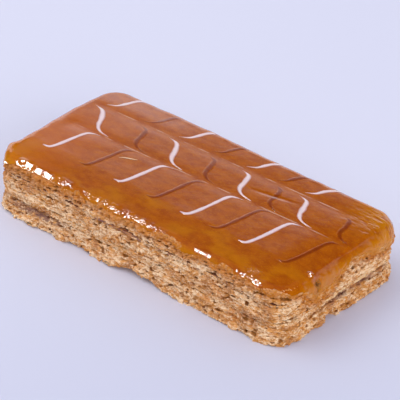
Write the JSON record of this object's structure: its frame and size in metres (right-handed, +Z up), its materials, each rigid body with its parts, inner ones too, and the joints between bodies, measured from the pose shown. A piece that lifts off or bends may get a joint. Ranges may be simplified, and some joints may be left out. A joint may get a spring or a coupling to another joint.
{
  "type": "mille feuille slice",
  "caption": "Iced slice of layered puff pastry and custard, a low rounded block with a feathered caramel top, for a plate or a bakery display.",
  "frame": {"origin": "middle of the underside, on the surface that the slice rests on", "axes": "+X along the slice's length, -Y towards its long front face, +Z up"},
  "size_m": [0.1277, 0.0635, 0.0225],
  "materials": {
    "pastry": "baked puff pastry, golden and flaky, dry and matte",
    "custard": "set pale custard, slightly moist",
    "soaked_custard": "thin custard soaked into the crumb, brown and moist",
    "caramel_icing": "poured caramel icing, glossy and slightly translucent",
    "white_icing": "piped white icing, set and softly glossy",
    "brown_icing": "piped chocolate icing, thin and softly glossy",
    "crumb": "loose flakes of baked pastry, matte"
  },
  "bodies": {
    "root": {"base_pastry": "pastry", "lower_custard": "custard", "middle_pastry": "pastry", "upper_custard": "soaked_custard", "top_pastry": "pastry", "icing": "caramel_icing"}
  },
  "joints": []
}
